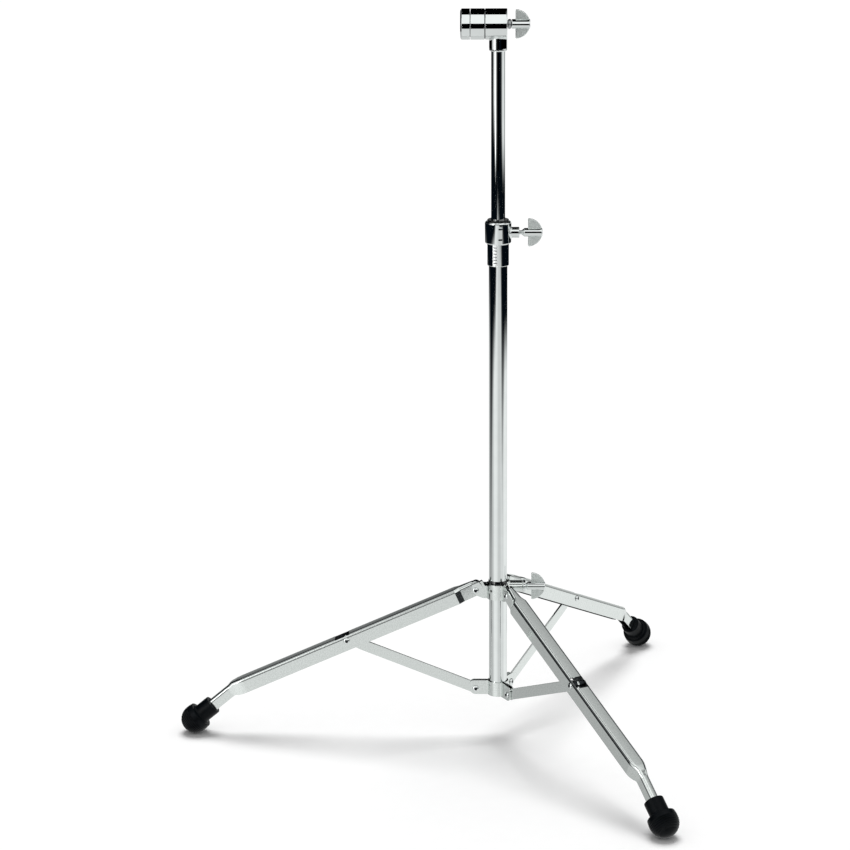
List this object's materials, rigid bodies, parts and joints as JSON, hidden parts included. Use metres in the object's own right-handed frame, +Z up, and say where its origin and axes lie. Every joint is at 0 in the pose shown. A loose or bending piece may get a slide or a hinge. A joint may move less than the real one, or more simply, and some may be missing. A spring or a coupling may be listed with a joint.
{
  "type": "frame drum stand",
  "caption": "Folding tripod floor stand with a telescopic mast and a tilting clamp that grips the rim of a frame drum.",
  "frame": {"origin": "centre of the footprint's box, on the floor the three feet stand on", "axes": "+Z up along the mast, +X from the left leg's side to the side of the wing screws, -Y towards the viewer of the picture"},
  "size_m": [0.6884, 0.7886, 1.0317],
  "materials": {
    "chrome": "bright polished chrome plate on steel",
    "zinc": "satin zinc plate on steel",
    "rubber": "semi-matt moulded black rubber",
    "nylon": "satin moulded black nylon"
  },
  "bodies": {
    "base": {"base_tube": "chrome", "tube_end_plug": "nylon", "lower_collar": "chrome", "clamp_housing": "chrome", "clamp_bush": "nylon", "hub_rivet_left": "chrome", "hub_rivet_front": "chrome", "hub_rivet_back": "chrome"},
    "clamp_pad": {"clamp_screw_pad": "zinc"},
    "clamp_screw": {"clamp_wing_screw": "chrome"},
    "slider": {"tube_guide_bush": "nylon"},
    "mast": {"upper_tube": "chrome", "head_body": "chrome", "head_nut_washer": "chrome"},
    "tilt": {"inner_jaw": "chrome", "inner_jaw_pad": "rubber", "friction_washer": "nylon"},
    "jaw": {"outer_jaw": "chrome", "outer_jaw_pad": "rubber", "draw_bolt": "zinc"},
    "head_nut": {"head_wing_nut": "chrome"},
    "strut_left": {"strut_left": "chrome", "strut_rivet_left": "chrome", "strut_spacer_a_left": "zinc", "strut_spacer_b_left": "zinc"},
    "leg_left": {"leg_left": "chrome", "foot_left": "rubber"},
    "collar": {"leg_collar": "chrome", "collar_bush": "nylon", "leg_rivet_left": "chrome", "leg_rivet_front": "chrome", "leg_rivet_back": "chrome", "leg_spacer_left": "zinc", "leg_spacer_front": "zinc", "leg_spacer_back": "zinc"},
    "collar_pad": {"collar_screw_pad": "zinc"},
    "collar_screw": {"collar_wing_screw": "chrome"},
    "strut_front": {"strut_front": "chrome", "strut_rivet_front": "chrome", "strut_spacer_a_front": "zinc", "strut_spacer_b_front": "zinc"},
    "leg_front": {"leg_front": "chrome", "foot_front": "rubber"},
    "strut_back": {"strut_back": "chrome", "strut_rivet_back": "chrome", "strut_spacer_a_back": "zinc", "strut_spacer_b_back": "zinc"},
    "leg_back": {"leg_back": "chrome", "foot_back": "rubber"}
  },
  "joints": [
    {"name": "fold", "type": "hinge", "parent": "base", "child": "strut_left", "pos_m": [0.07642, 0, 0.06757], "axis": [0, 1, 0], "range_deg": [0, 61]},
    {"name": "leg_left_hinge", "type": "hinge", "parent": "strut_left", "child": "leg_left", "pos_m": [-0.10582, 0, 0.14107], "axis": [0, 1, 0], "range_deg": [-122, 0]},
    {"name": "collar_hinge", "type": "hinge", "parent": "leg_left", "child": "collar", "pos_m": [0.07642, 0, 0.21457], "axis": [0, 1, 0], "range_deg": [0, 61]},
    {"name": "strut_front_hinge", "type": "hinge", "parent": "base", "child": "strut_front", "pos_m": [0.12367, -0.02728, 0.06757], "axis": [-0.866, -0.5, 0], "range_deg": [0, 61]},
    {"name": "leg_front_hinge", "type": "hinge", "parent": "strut_front", "child": "leg_front", "pos_m": [0.21478, -0.1851, 0.14107], "axis": [-0.866, -0.5, 0], "range_deg": [-122, 0]},
    {"name": "strut_back_hinge", "type": "hinge", "parent": "base", "child": "strut_back", "pos_m": [0.12367, 0.02728, 0.06757], "axis": [0.866, -0.5, 0], "range_deg": [0, 61]},
    {"name": "leg_back_hinge", "type": "hinge", "parent": "strut_back", "child": "leg_back", "pos_m": [0.21478, 0.1851, 0.14107], "axis": [0.866, -0.5, 0], "range_deg": [-122, 0]},
    {"name": "mast_slide", "type": "slide", "parent": "base", "child": "slider", "axis": [0, 0, 1], "range_m": [-0.228, 0.18]},
    {"name": "mast_swivel", "type": "hinge", "parent": "slider", "child": "mast", "pos_m": [0.10792, 0, 0.7], "axis": [0, 0, 1], "continuous": true},
    {"name": "drum_tilt", "type": "hinge", "parent": "mast", "child": "tilt", "pos_m": [0.10792, 0, 1.01087], "axis": [1, 0, 0], "continuous": true},
    {"name": "jaw_slide", "type": "slide", "parent": "tilt", "child": "jaw", "axis": [-1, 0, 0], "range_m": [0, 0.012]},
    {"name": "head_nut_turn", "type": "hinge", "parent": "mast", "child": "head_nut", "pos_m": [0.10792, 0, 1.01087], "axis": [1, 0, 0], "range_deg": [0, 4320]},
    {"name": "clamp_screw_turn", "type": "hinge", "parent": "clamp_pad", "child": "clamp_screw", "pos_m": [0.10792, 0, 0.72687], "axis": [1, 0, 0], "range_deg": [0, 720]},
    {"name": "clamp_pad_slide", "type": "slide", "parent": "base", "child": "clamp_pad", "axis": [1, 0, 0], "range_m": [0, 0.002]},
    {"name": "collar_screw_turn", "type": "hinge", "parent": "collar_pad", "child": "collar_screw", "pos_m": [0.10792, 0, 0.22007], "axis": [1, 0, 0], "range_deg": [0, 720]},
    {"name": "collar_pad_slide", "type": "slide", "parent": "collar", "child": "collar_pad", "axis": [1, 0, 0], "range_m": [0, 0.002]}
  ],
  "couplings": [
    {"joint": "leg_left_hinge", "follows": "fold", "ratio": -2},
    {"joint": "collar_hinge", "follows": "fold", "ratio": 1},
    {"joint": "strut_front_hinge", "follows": "fold", "ratio": 1},
    {"joint": "leg_front_hinge", "follows": "fold", "ratio": -2},
    {"joint": "strut_back_hinge", "follows": "fold", "ratio": 1},
    {"joint": "leg_back_hinge", "follows": "fold", "ratio": -2},
    {"joint": "head_nut_turn", "follows": "jaw_slide", "rad_per_m": 6283.2},
    {"joint": "clamp_screw_turn", "follows": "clamp_pad_slide", "rad_per_m": 6283.2},
    {"joint": "collar_screw_turn", "follows": "collar_pad_slide", "rad_per_m": 6283.2}
  ]
}
